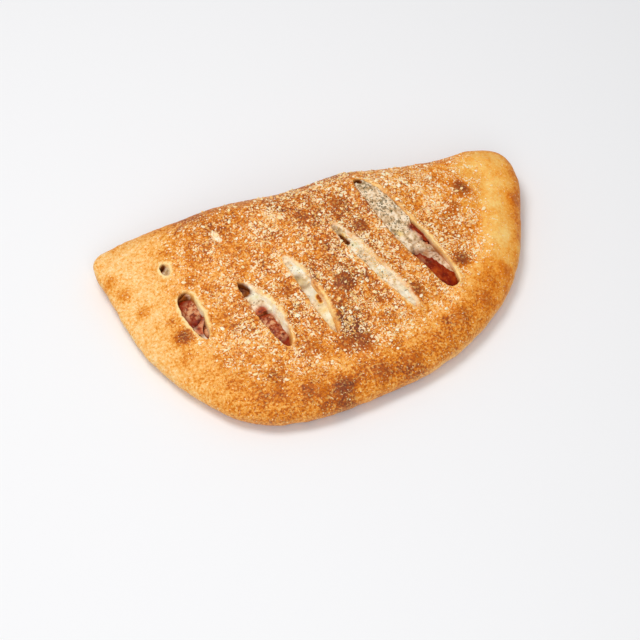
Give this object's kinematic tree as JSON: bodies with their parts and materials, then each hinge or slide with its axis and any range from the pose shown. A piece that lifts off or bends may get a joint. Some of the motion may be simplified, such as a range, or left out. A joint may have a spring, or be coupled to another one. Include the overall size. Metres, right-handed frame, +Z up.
{
  "type": "pepperoni roll",
  "caption": "Baked half-moon roll: a folded golden crust with diagonal slashes that show cheese filling and pepperoni slices, grated cheese baked on top.",
  "frame": {"origin": "centre of the footprint, at the flat base", "axes": "+X along the fold towards its blunt end, +Y from the curved sealed rim towards the fold, +Z up"},
  "size_m": [0.2332, 0.138, 0.0386],
  "materials": {
    "crust": "baked dough, golden orange with toasted brown spots",
    "filling": "soft melted cheese with flecks of herb",
    "pepperoni": "oily cured sausage, deep red",
    "grated_cheese": "dry grated hard cheese",
    "herbs": "dried herb flakes"
  },
  "bodies": {
    "root": {"crust": "crust", "filling": "filling", "pepperoni_1": "pepperoni", "pepperoni_2": "pepperoni", "pepperoni_3": "pepperoni", "pepperoni_4": "pepperoni", "pepperoni_5": "pepperoni"}
  },
  "joints": []
}
